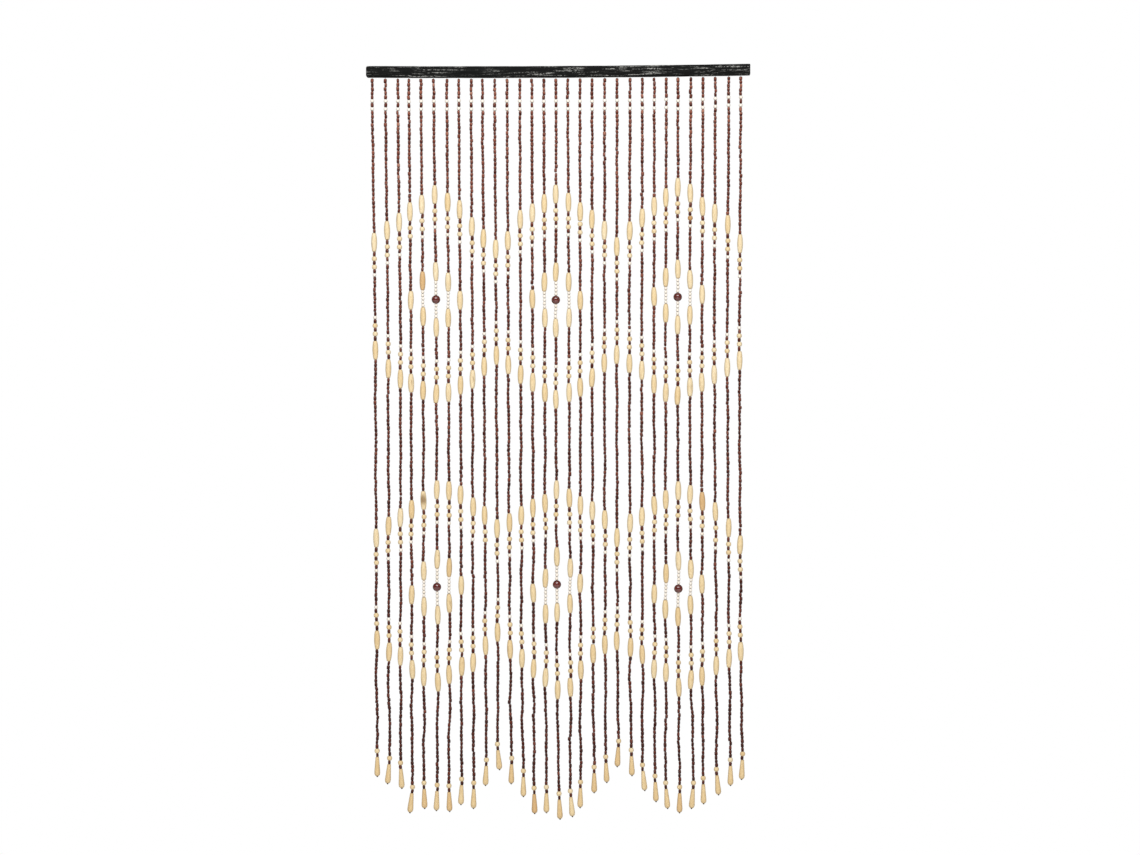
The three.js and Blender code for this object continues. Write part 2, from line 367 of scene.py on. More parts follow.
def white_bead():
    m, nt, bsdf = new_material("white_bead_wood")
    local = attribute(nt, "local").outputs["Vector"]
    tint = parts_of(nt, attribute(nt, "tint").outputs["Vector"])
    along = attribute(nt, "along").outputs["Fac"]
    base = ramp(nt, tint[0], (0.0, (0.850, 0.790, 0.715)), (1.0, (0.800, 0.715, 0.605)))
    fine = noise(nt, vector_scale(nt, local, (1.8, 1.8, 0.5)), detail=2.0)
    wood = mix(nt, span(nt, fine, 0.45, 0.75, 0.0, 0.25), base, (0.66, 0.57, 0.45))
    # Painted shade at the ends, where each bead sits on the next, darkest at the lower end, away from the light above.
    upper = mix(nt, span(nt, along, 0.80, 1.0, 0.0, 0.50), wood, (0.40, 0.35, 0.29))
    lower = mix(nt, span(nt, along, -0.40, -1.0, 0.0, 0.85), upper, (0.155, 0.135, 0.110))
    link(nt, lower, bsdf.inputs["Base Color"])
    link(nt, span(nt, fine, 0.3, 0.7, 0.32, 0.48), bsdf.inputs["Roughness"])
    bsdf.inputs["Specular IOR Level"].default_value = 0.42
    bump(nt, bsdf, fine, 0.15, 0.0002)
    return m


def large_bead_wood():
    m, nt, bsdf = new_material("large_bead_wood")
    local = attribute(nt, "local").outputs["Vector"]
    rings = noise(nt, vector_scale(nt, local, (0.55, 0.55, 0.12)), detail=3.0, distortion=0.8)
    base = ramp(nt, rings, (0.30, (0.050, 0.0085, 0.0075)), (0.55, (0.125, 0.0170, 0.0140)), (0.75, (0.200, 0.0330, 0.0240)))
    link(nt, base, bsdf.inputs["Base Color"])
    link(nt, span(nt, rings, 0.3, 0.7, 0.16, 0.24), bsdf.inputs["Roughness"])
    bsdf.inputs["Specular IOR Level"].default_value = 0.65
    bsdf.inputs["Coat Weight"].default_value = 1.0
    bsdf.inputs["Coat Roughness"].default_value = 0.11
    bump(nt, bsdf, rings, 0.10, 0.0003)
    return m


def twisted(name, colour, roughness):
    """Cord: one colour, with painted shade between its twisted strands, and the soft sheen of fibre."""
    m, nt, bsdf = new_material(name)
    place = add(nt, "ShaderNodeTexCoord").outputs["Object"]
    twist = add(nt, "ShaderNodeTexWave", wave_type="BANDS", bands_direction="DIAGONAL")
    link(nt, vector_scale(nt, place, (700, 700, 700)), twist.inputs["Vector"])
    twist.inputs["Distortion"].default_value = 1.5
    shown = mix(nt, span(nt, twist.outputs["Fac"], 0.2, 0.8), tuple(0.45 * c for c in colour), colour)
    link(nt, shown, bsdf.inputs["Base Color"])
    bsdf.inputs["Roughness"].default_value = roughness
    bsdf.inputs["Sheen Weight"].default_value = 0.25
    return m


def black_paint():
    m, nt, bsdf = new_material("black_painted_wood")
    place = add(nt, "ShaderNodeTexCoord").outputs["Object"]
    grain = noise(nt, vector_scale(nt, place, (12, 300, 600)), detail=4.0, roughness=0.62, distortion=0.15)
    # Dry strokes of the brush: thin lines along the bar, broken up, and more of them in some stretches.
    strokes = noise(nt, vector_scale(nt, place, (16, 150, 380)), detail=3.0, roughness=0.60, distortion=0.2)
    broken = noise(nt, vector_scale(nt, place, (210, 210, 330)), detail=3.0, roughness=0.68)
    patch = noise(nt, vector_scale(nt, place, (8, 8, 45)), detail=2.0)
    paint = mix(nt, span(nt, grain, 0.35, 0.70), (0.0022, 0.0023, 0.0022), (0.0115, 0.0118, 0.0112))
    dry = maths(nt, "MULTIPLY", span(nt, strokes, 0.547, 0.607), span(nt, broken, 0.44, 0.56))
    dry = maths(nt, "MULTIPLY", dry, span(nt, patch, 0.40, 0.56, 0.10, 1.0))
    shown = mix(nt, maths(nt, "MULTIPLY", dry, 0.95), paint, (0.340, 0.340, 0.320))
    link(nt, shown, bsdf.inputs["Base Color"])
    link(nt, span(nt, grain, 0.3, 0.7, 0.62, 0.80), bsdf.inputs["Roughness"])
    bsdf.inputs["Specular IOR Level"].default_value = 0.08
    bump(nt, bsdf, maths(nt, "ADD", grain, maths(nt, "MULTIPLY", strokes, 0.6)), 0.45, 0.0005)
    return m


STAINED, PALE, WHITE, LARGE, CORD, KNOT = (
    stained_wood(),
    pale_wood(),
    white_bead(),
    large_bead_wood(),
    twisted("pale_cord", (0.78, 0.76, 0.70), 0.45),
    twisted("dark_cord_knot", (0.060, 0.053, 0.045), 0.55),
)
MATERIAL_OF = {"brown": STAINED, "eye": LARGE, "barrel": PALE, "ball": PALE, "drop": PALE, "white": WHITE}
BLACK = black_paint()


# ---------------------------------------------------------------- bead shapes
def turned(profile, around):
    """A turned bead. profile is (radius, height) from its upper end to its lower one, for a bead of half-height 1 and
    radius 1; the ends close on the axis. Gives points, faces and, for each face, the map places of its corners."""
    profile = np.array(profile, float)
    steps = np.r_[0, np.cumsum(np.hypot(*np.diff(profile, axis=0).T))]
    steps /= steps[-1]
    angle = np.arange(around) * 2 * math.pi / around
    points = [(0, 0, profile[0, 1])]
    for r, z in profile[1:-1]:
        points += [(r * math.cos(a), r * math.sin(a), z) for a in angle]
    points.append((0, 0, profile[-1, 1]))
    rings = len(profile) - 2
    faces, places = [], []
    for k in range(around):
        n = (k + 1) % around
        faces.append((0, 1 + k, 1 + n))
        places.append((((k + 0.5) / around, 0), (k / around, steps[1]), ((k + 1) / around, steps[1])))
        for i in range(rings - 1):
            u, l = 1 + i * around, 1 + (i + 1) * around
            faces.append((u + k, l + k, l + n, u + n))
            a, b = steps[i + 1], steps[i + 2]
            places.append(((k / around, a), (k / around, b), ((k + 1) / around, b), ((k + 1) / around, a)))
        u = 1 + (rings - 1) * around
        faces.append((len(points) - 1, u + n, u + k))
        places.append((((k + 0.5) / around, 1), ((k + 1) / around, steps[-2]), (k / around, steps[-2])))
    return np.array(points), faces, places


def round_profile(steps, hole, squash=1.0):
    """Half a circle, flattened where the hole is, with a small dimple around the cord."""
    start = math.asin(hole)
    angles = np.linspace(start, math.pi - start, steps)
    rows = [(math.sin(a) ** squash, math.cos(a) / math.cos(start)) for a in angles]
    return [(0, 0.90), *rows, (0, -0.90)]


BROWN = turned(
    [(0, 0.90), (0.60, 1), (0.88, 0.82), (1, 0.34), (1, -0.38), (0.89, -0.84), (0.62, -1), (0, -0.90)], 10
)
BALL = turned(round_profile(8, 0.50, 0.80), 16)
SMALL = turned(round_profile(6, 0.48, 0.85), 12)
SPHERE = turned(round_profile(14, 0.28), 28)
BARREL = turned(
    [
        (0, 0.975), (0.30, 0.978), (0.55, 0.995), (0.655, 0.950), (0.765, 0.81), (0.87, 0.61), (0.945, 0.38), (0.99, 0.13),
        (0.99, -0.13), (0.945, -0.38), (0.87, -0.61), (0.765, -0.81), (0.655, -0.950), (0.55, -0.995), (0.30, -0.978), (0, -0.975),
    ],
    20,
)
WIDEST_AT = -1 + 2 * DROP_WIDEST / DROP_LENGTH
DROP = turned(
    [
        (0, 0.985), (0.28, 0.985), (0.50, 1.0), (0.59, 0.965), (0.645, 0.80), (0.725, 0.50), (0.80, 0.20), (0.87, -0.08),
        (0.94, -0.34), (0.985, WIDEST_AT + 0.10), (1.0, WIDEST_AT), (0.985, WIDEST_AT - 0.11), (0.90, -0.85), (0.70, -0.945),
        (0.46, -1.0), (0.20, -0.985), (0, -0.985),
    ],
    20,
)
SHAPES = {"brown": BROWN, "barrel": BARREL, "ball": BALL, "drop": DROP, "white": SMALL, "eye": SPHERE}


# ---------------------------------------------------------------- the strings
def line_of(i, s):
    """Where string i is along x and y at a height, in millimetres."""
    stops = (
        (BAR_HEIGHT, s["bar"]),
        (-BAR_HEIGHT, s["bar"]),
        (HALF_Z, s["half"]),
        (LOW_Z, s["low"]),
        (s["end"] + BALL_ABOVE_TIP, s["ball"]),
        (s["end"], s["tip"]),
    )
    rng = np.random.default_rng(100 + i)
    waves = [(rng.uniform(110, 170), rng.uniform(0, 6.28)), (rng.uniform(190, 320), rng.uniform(0, 6.28))]
    across = [(rng.uniform(120, 200), rng.uniform(0, 6.28)), (rng.uniform(220, 340), rng.uniform(0, 6.28))]

    def at(z):
        k = 1
        while k < len(stops) - 1 and z < stops[k][0]:
            k += 1
        (z0, x0), (z1, x1) = stops[k - 1], stops[k]
        t = min(1, max(0, (z - z0) / (z1 - z0)))
        eased = t if k == len(stops) - 1 else t * t * (3 - 2 * t)
        x = x0 + (x1 - x0) * (0.5 * t + 0.5 * eased)
        # The string isn't pulled quite straight, least of all low down, and it is held at the bar and by its drop.
        low = min(1, max(0, -z / 1500))
        sway = (0.25 + 1.0 * low * low) * min(1, max(0, -z / 60))
        sway *= min(1, max(0, (z - s["end"] - BALL_ABOVE_TIP) / 120))
        for share, (length, start) in zip((0.8, 0.7), waves):
            x += sway * share * math.sin(2 * math.pi * z / length + start)
        y = STRING_Y
        for share, (length, start) in zip((0.6, 0.35), across):
            y += sway * share * math.sin(2 * math.pi * z / length + start)
        return x, y

    return at


def fixed_things(i, s):
    """What is threaded on string i apart from the runs of brown beads, as (kind, middle, height, radius, place)."""
    things = []

    def put(kind, z, height, radius, place):
        things.append((kind, z, height, radius, place))

    rise = bow(s["bar"])
    for k, below in enumerate(TOP_WHITES):
        put("white", rise - below - lower.get(i, 0), WHITE_HEIGHT, WHITE_RADIUS, f"top {k}")
    for row, way in (("a", -1), ("b", 1), ("c", -1), ("d", 1)):
        z = s[row]
        put("barrel", z, BARREL_LENGTH, BARREL_RADIUS, row)
        end = z + way * BARREL_LENGTH / 2
        more = 9.2 if odd.get((i, row, "middle browns")) == "two" else 0
        first = FIRST_BALL - (9.2 if odd.get((i, row, "first brown")) == "none" else 0)
        second = SECOND_BALL - FIRST_BALL + first + more
        put("ball", end + way * first, BALL_HEIGHT, BALL_RADIUS, row + " first ball")
        put("ball", end + way * second, BALL_HEIGHT, BALL_RADIUS, row + " second ball")
        if odd.get((i, row, "white")) != "none":
            put("white", end + way * (second + ROW_WHITE - SECOND_BALL), WHITE_HEIGHT, WHITE_RADIUS, row + " white")
    for k, e in enumerate(eyes):
        d = i - e["string"]
        if d == 0:
            z = e["z"]
            put("barrel", z + EYE_REACH, BARREL_LENGTH, BARREL_RADIUS, f"eye {k} top")
            put("barrel", z - EYE_REACH, BARREL_LENGTH, BARREL_RADIUS, f"eye {k} bottom")
            put("eye", z, EYE_LENGTH, EYE_RADIUS, f"eye {k}")
            room = EYE_REACH - BARREL_LENGTH / 2 - EYE_LENGTH / 2
            for n in range(4):
                for way in (1, -1):
                    put("white", z + way * (EYE_LENGTH / 2 + room * (n + 0.5) / 4), room / 4 - 0.15, EYE_WHITE_RADIUS, "eye white")
        elif abs(d) == 1:
            z = e["z"] + (e["left1"] if d < 0 else e["right1"])
            put("barrel", z + PAIR_REACH, BARREL_LENGTH, BARREL_RADIUS, f"eye {k} top")
            put("barrel", z - PAIR_REACH, BARREL_LENGTH, BARREL_RADIUS, f"eye {k} bottom")
            room = 2 * PAIR_REACH - BARREL_LENGTH
            for n in range(5):
                put("white", z + room * ((n + 0.5) / 5 - 0.5), room / 5 - 0.15, EYE_WHITE_RADIUS, "eye white")
        elif abs(d) == 2:
            put("barrel", e["z"] + (e["left2"] if d < 0 else e["right2"]), BARREL_LENGTH, BARREL_RADIUS, f"eye {k} side")
    put("ball", s["end"] + BALL_ABOVE_TIP, BALL_HEIGHT, BALL_RADIUS, "end ball")
    put("drop", s["end"] + DROP_FOOT + DROP_LENGTH / 2, DROP_LENGTH, DROP_RADIUS, "end")
    return sorted(things, key=lambda t: -t[1])


def threaded(i, s):
    """All that is threaded on string i, from the top, as (kind, middle, height, radius, place)."""
    rng = np.random.default_rng(500 + i)
    fixed = fixed_things(i, s)
    made = []
    above = bow(s["bar"]) - BAR_HEIGHT / 2 - BARE
    for thing in fixed:
        kind, z, height, radius, place = thing
        room = above - (z + height / 2)
        count = max(0, round(room / BROWN_PITCH))
        if count:
            beads, loose = slack.get((i, place), (0, 0.0))
            if not loose and count > 6 and rng.random() < 0.06:
                beads, loose = int(rng.integers(1, 4)), rng.uniform(1.0, 1.8)
            share = 1 + 0.15 * rng.uniform(-1, 1, count)
            share *= (room - loose) / share.sum()
            top = above
            for n, length in enumerate(share):
                if n == count - beads:
                    top -= loose
                wide = BROWN_RADIUS * rng.uniform(0.86, 1.10)
                made.append(("brown", top - length / 2, length, wide, "run" if count > 2 else "single"))
                top -= length
        made.append(thing)
        above = z - height / 2
    return made


def tint_of(kind, place, z, mark, rng):
    """Three numbers that give a bead its colour. Low down the brown beads are darker: painted shade, for the light
    falling off towards the foot of the curtain.
    """
    low = min(1.0, max(0.0, -z / 1700))
    if kind == "brown":
        shade = 0.24 + 0.78 * rng.beta(2.2, 2.2) - 0.52 * low**0.75
        if rng.random() < 0.06:
            shade += 0.25
        if place == "single":
            shade = 0.10 + 0.6 * shade
        # The second number (rosy wear) and the third (the painted shoulder highlight) are smaller low down: painted
        # light, brighter at the top.
        return min(1.0, max(0.0, shade)), rng.random() * (1.25 - 0.95 * low), rng.random() * (1.0 - 0.85 * low)
    if kind == "white":
        return min(1.0, max(0.0, rng.random() * 0.6 + 0.25 * low)), rng.random(), rng.random()
    if kind == "eye":
        return 0.5, rng.random(), rng.random()
    shade = 0.20 + 0.22 * low + rng.normal(0, 0.13)
    if kind == "ball":
        shade -= 0.10
    if kind == "drop":
        shade += 0.16
    if mark == "tan":
        shade = 0.90
    if mark == "orange":
        shade = 1.0
    return min(1.0, max(0.0, shade)), rng.random(), rng.random()


def marked(points, mark, rng):
    """How far each point of a bead is inside a dark mark in its wood: from 0, not at all, to 1."""
    x, y, z = points.T
    angle = np.arctan2(x, -y)
    if mark == "bark":
        return np.clip(1.25 - np.abs(angle) / 1.6, 0, 1) * np.clip(1.1 - np.abs(z - 0.1) / 1.1, 0, 1)
    if mark == "streak":
        return np.clip(1 - np.abs(angle - 0.35 + 0.25 * z) / 0.38, 0, 1) * np.clip(1.2 - np.abs(z) / 0.9, 0, 1) * 0.95
    if mark == "spot":
        return np.clip(1.05 - np.hypot((angle - 0.45) * 1.4, (z - 0.42) * 2.2) / 0.62, 0, 1)
    return np.zeros(len(points))


def turn_to(direction, spin, lean, lean_way):
    """Rotation that takes the z axis to direction, after a spin about it and a small lean."""
    d = np.array(direction, float)
    d /= np.linalg.norm(d)
    side = np.array((math.cos(lean_way), math.sin(lean_way), 0))
    d = d + side * math.tan(lean)
    d /= np.linalg.norm(d)
    x = np.cross((0, 1, 0), d)
    x /= np.linalg.norm(x)
    y = np.cross(d, x)
    c, s = math.cos(spin), math.sin(spin)
    return np.stack((c * x + s * y, -s * x + c * y, d), axis=1)


def shelves(sizes, scale, gap):
    """Places (x, y) of the scaled rectangles laid side by side on shelves one unit wide, and how high they stand."""
    x = y = high = 0.0
    found = []
    for w, h in sizes:
        w, h = w * scale + gap, h * scale + gap
        if x + w > 1:
            x, y, high = 0.0, y + high, 0.0
        found.append((x + gap / 2, y + gap / 2))
        x += w
        high = max(high, h)
    return found, y + high


def bead_piece(name, seed, i, things, at, materials):
    """Beads of string i as one mesh, with the materials of those shapes, each bead with a place of its own on the map."""
    rng = np.random.default_rng(seed + i)
    order = {"barrel": 0, "drop": 1, "eye": 2, "ball": 3, "white": 4, "brown": 5}
    flat = sorted(range(len(things)), key=lambda n: order[things[n][0]])
    sizes = [(2 * math.pi * things[n][3], things[n][2] + 1.4 * things[n][3]) for n in flat]
    gap, low, high = 0.0035, 0.0, 0.05
    for _ in range(24):
        middle = (low + high) / 2
        if shelves(sizes, middle, gap)[1] <= 1:
            low = middle
        else:
            high = middle
    spots = dict(zip(flat, shelves(sizes, low, gap)[0]))
    areas = dict(zip(flat, sizes))

    points, corners, starts, maps, slots = [], [], [], [], []
    locals_, alongs, tints, inks = [], [], [], []
    base = total = 0
    for n, (kind, z, height, radius, place) in enumerate(things):
        shape, faces, places = SHAPES[kind]
        slot = materials.index(MATERIAL_OF[kind])
        mark = marks.get((i, place)) or ("orange" if odd.get((i, place[:1], place[2:])) == "orange" else None)
        x0, y0 = at(z)
        if kind in ("drop", "barrel"):
            (x1, y1), (x2, y2) = at(z + height / 2), at(z - height / 2)
            x0, y0 = (x1 + x2) / 2, (y1 + y2) / 2
        else:
            (x1, y1), (x2, y2) = at(z + 2), at(z - 2)
        way = (x1 - x2, y1 - y2, height if kind in ("drop", "barrel") else 4)
        if kind == "brown":
            aside, lean = rng.normal(0, 0.42), abs(rng.normal(0, 0.09))
        elif kind == "drop":
            aside, lean = 0.0, 0.0
        else:
            aside, lean = rng.normal(0, 0.18), abs(rng.normal(0, 0.02))
        spin, lean_way = (0.0 if mark in ("bark", "streak", "spot") else rng.uniform(0, 6.28)), rng.uniform(0, 6.28)
        size = np.array((radius, radius * rng.uniform(0.97, 1.0), height / 2 - 0.04))
        own = shape * size
        if kind == "barrel":  # no two are turned quite alike
            own[:, :2] *= (1 + 0.05 * rng.uniform(-1, 1) * shape[:, 2:] + 0.03 * rng.uniform(-1, 1))
        turn = turn_to(way, spin, lean, lean_way)
        points.append((own @ turn.T + (x0 + aside, y0 + rng.normal(0, 0.15), z)) * MM)
        locals_.append(own + rng.uniform(0, 900, 3))
        alongs.append(shape[:, 2])
        tints.append(np.tile(tint_of(kind, place, z, mark, rng), (len(shape), 1)))
        ink = np.zeros((len(shape), 3))
        ink[:, 0] = marked(shape, mark, rng)
        inks.append(ink)
        (left, up), (wide, tall) = spots[n], areas[n]
        for face, spot in zip(faces, places):
            starts.append(total)
            corners += [base + v for v in face]
            maps += [(left + u * wide * low, up + v * tall * low) for u, v in spot]
            total += len(face)
        slots += [slot] * len(faces)
        base += len(shape)

    me = bpy.data.meshes.new(f"{name}_{i:02d}")
    me.vertices.add(base)
    me.vertices.foreach_set("co", np.concatenate(points).astype(np.float32).ravel())
    me.loops.add(total)
    me.loops.foreach_set("vertex_index", np.array(corners, np.int32))
    me.polygons.add(len(starts))
    me.polygons.foreach_set("loop_start", np.array(starts, np.int32))
    for m in materials:
        me.materials.append(m)
    me.polygons.foreach_set("material_index", np.array(slots, np.int32))
    me.update(calc_edges=True)
    me.shade_smooth()
    uv = me.uv_layers.new(name="OFBake")
    uv.uv.foreach_set("vector", np.array(maps, np.float32).ravel())
    for name, kind, values in (
        ("local", "FLOAT_VECTOR", np.concatenate(locals_)),
        ("tint", "FLOAT_VECTOR", np.concatenate(tints)),
        ("mark", "FLOAT_VECTOR", np.concatenate(inks)),
        ("along", "FLOAT", np.concatenate(alongs)),
    ):
        a = me.attributes.new(name, kind, "POINT")
        a.data.foreach_set("vector" if kind == "FLOAT_VECTOR" else "value", values.astype(np.float32).ravel())
    ob = bpy.data.objects.new(f"{name}_{i:02d}", me)
    bpy.context.collection.objects.link(ob)
    return ob


def knot_piece(i, s, at):
    """The overhand knot under the drop: a cord on a trefoil, drawn tight."""
    x, y = at(s["end"])
    path = []
    for k in range(40):
        t = 2 * math.pi * k / 40
        path.append((math.sin(t) + 2 * math.sin(2 * t), math.cos(t) - 2 * math.cos(2 * t), -1.4 * math.sin(3 * t)))
    path = np.array(path) * 0.50 + (0, 0, DROP_FOOT - 1.1)
    around, radius = 6, 0.70
    points, faces = [], []
    for k, p in enumerate(path):
        d = path[(k + 1) % len(path)] - path[k - 1]
        d /= np.linalg.norm(d)
        a = np.cross(d, (0, 0, 1))
        a /= np.linalg.norm(a)
        b = np.cross(d, a)
        points += [p + radius * (a * math.cos(q) + b * math.sin(q)) for q in np.arange(around) * 2 * math.pi / around]
    for k in range(len(path)):
        n = (k + 1) % len(path)
        for j in range(around):
            m = (j + 1) % around
            faces.append((k * around + j, k * around + m, n * around + m, n * around + j))
    slope = (s["ball"] - s["tip"]) / BALL_ABOVE_TIP
    place = np.array((x, y, s["end"]))
    spot = [tuple((place + p + (slope * p[2] * -1, 0, 0)) * MM) for p in np.array(points)]
    me = bpy.data.meshes.new(f"knot_{i:02d}")
    me.from_pydata(spot, [], faces)
    me.materials.append(KNOT)
    me.shade_smooth()
    me.update()
    bm = bmesh.new()
    bm.from_mesh(me)
    bmesh.ops.recalc_face_normals(bm, faces=bm.faces)
    bm.to_mesh(me)
    bm.free()
    ob = bpy.data.objects.new(f"knot_{i:02d}", me)
    bpy.context.collection.objects.link(ob)
    return ob


def cord_piece(i, s, at):
    """String i itself, from the groove in the bar down to its knot, and its length in metres."""
    top = bow(s["bar"]) + BAR_HEIGHT / 2 - GROOVE_DEPTH + 1.5
    zs = [top, *np.linspace(-2, s["end"] + BALL_ABOVE_TIP, 35), s["end"] + 30, s["end"] - 1.0]
    places = []
    for z in zs:
        x, y = at(z) if z < 0 else (s["bar"], STRING_Y)
        places.append((x * MM, y * MM, z * MM))
    cu = bpy.data.curves.new(f"string_{i:02d}", "CURVE")
    cu.dimensions = "3D"
    cu.resolution_u = 4
    cu.bevel_depth = CORD_RADIUS * MM
    cu.bevel_resolution = 1
    cu.use_fill_caps = True
    sp = cu.splines.new("BEZIER")
    sp.bezier_points.add(len(places) - 1)
    for p, q in zip(sp.bezier_points, places):
        p.co = q
        p.handle_left_type = p.handle_right_type = "AUTO"
    cu.materials.append(CORD)
    ob = bpy.data.objects.new(f"string_{i:02d}", cu)
    bpy.context.collection.objects.link(ob)
    length = float(np.linalg.norm(np.diff(np.array(places), axis=0), axis=1).sum())
    return ob, length


# ---------------------------------------------------------------- camera, set at the photograph's viewing angle
CAMERA_FROM = 6.0
FRAME_WIDE = 2.6726  # the frame's width at the curtain
camera = bpy.data.objects.new("camera", bpy.data.cameras.new("camera"))
bpy.context.collection.objects.link(camera)
camera.data.type = "PERSP"
camera.data.sensor_width = 36
camera.data.lens = 36 * CAMERA_FROM / FRAME_WIDE
camera.data.clip_end = 60
camera.location = (0.0278, STRING_Y * MM - CAMERA_FROM, -0.8330)
camera.rotation_euler = (math.pi / 2, 0, 0)
bpy.context.scene.camera = camera

# ---------------------------------------------------------------- cords first, then the beads on each
for i, s in enumerate(strings):
    at = line_of(i, s)
    cord, length = cord_piece(i, s, at)
    things = threaded(i, s)
    dark = [t for t in things if t[0] in ("brown", "eye")]
    pale = [t for t in things if t[0] not in ("brown", "eye")]
    browns = bead_piece("brown", 900, i, dark, at, [STAINED, LARGE] if any(t[0] == "eye" for t in dark) else [STAINED])
    pales = bead_piece("pale", 1900, i, pale, at, [PALE, WHITE])
    knot = knot_piece(i, s, at)
    for piece in (cord, browns, pales, knot):
        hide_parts("string_comb")
        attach(piece, "root")
    (bow(s["bar"]) - BAR_HEIGHT / 2) * MM


# ---------------------------------------------------------------- the header bar
def bar_section(x, inset):
    """Points (y, z) round the bar at x, its corners eased, with a hand-planed batten's small unevenness."""
    half_y, half_z, ease = BAR_DEPTH / 2 - inset * 0.7, BAR_HEIGHT / 2 - inset, 1.5
    rows = []
    for cy, cz, start in ((1, 1, 0), (-1, 1, 90), (-1, -1, 180), (1, -1, 270)):
        for k in range(4):
            a = math.radians(start + k * 30)
            rows.append((cy * (half_y - ease) + ease * math.cos(a), cz * (half_z - ease) + ease * math.sin(a)))
    top = 0.10 * math.sin(x / 31 + 1) + 0.07 * math.sin(x / 11.3) + 0.05 * math.sin(x / 4.9 + 2)
    low = 0.10 * math.sin(x / 27 + 4) + 0.07 * math.sin(x / 9.7 + 1) + 0.05 * math.sin(x / 5.3)
    return [(y + STRING_Y, z + bow(x) + (top if z > 0 else low)) for y, z in rows]


def bar_map(me):
    """Unfolds the bar onto its map in six lengths, one above another, so that its long streaks keep their detail."""
    size, length, pitch, rise = 350, BAR_LENGTH / 6, 157, 116
    verts = np.empty(len(me.vertices) * 3, np.float32)
    me.vertices.foreach_get("co", verts)
    verts = verts.reshape(-1, 3) / MM
    uv = me.uv_layers.new(name="OFBake")
    bars = [s["bar"] for s in strings]
    floor = BAR_HEIGHT / 2 - GROOVE_DEPTH
    for f in me.polygons:
        n, c = f.normal, np.array(f.center) / MM
        k = min(5, max(0, int((c[0] + BAR_LENGTH / 2) // length)))
        left, up = 3 + (k % 2) * pitch, 2 + (k // 2) * rise
        start = -BAR_LENGTH / 2 + k * length
        high = c[2] - bow(c[0])
        inside = abs(c[1] - STRING_Y) < GROOVE_WIDTH / 2 + 0.1
        hole = min(range(len(bars)), key=lambda h: abs(bars[h] - c[0]))
        in_hole = inside and abs(bars[hole] - c[0]) < HOLE_RADIUS + 0.1 and abs(n.z) < 0.5 and high < floor - 0.5
        for loop in f.loop_indices:
            x, y, z = verts[me.loops[loop].vertex_index]
            if in_hole:
                middle = math.atan2(c[1] - STRING_Y, c[0] - bars[hole])
                angle = math.atan2(y - STRING_Y, x - bars[hole])
                angle = middle + (angle - middle + math.pi) % (2 * math.pi) - math.pi
                u = 320 + (hole % 4) * 7.4 + (angle / math.pi + 1) * 3
                v = 4 + (hole // 4) * 12 + (z - bow(x) + 13) / 2
            elif inside and high > floor + 0.1 and abs(n.x) > 0.7:
                u, v = (324 if c[0] < 0 else 334) + (y - STRING_Y), 165 + z - bow(x)
            elif inside and high > floor + 0.1 and abs(n.y) > 0.7:
                u, v = left + x - start, up + (100 if n.y > 0 else 106.5) + z - bow(x) - floor
            elif abs(n.x) > 0.7:
                u, v = 322 - y - BAR_DEPTH + 20, (115 if c[0] < 0 else 145) + z - bow(x)
            elif abs(n.y) >= abs(n.z):
                u, v = left + x - start, up + (0 if n.y < 0 else 27.5) + z - bow(x) + 13
            else:
                u, v = left + x - start, up + (55 if n.z > 0 else 77.5) + y + BAR_DEPTH
            uv.uv[loop].vector = (u / size, v / size)


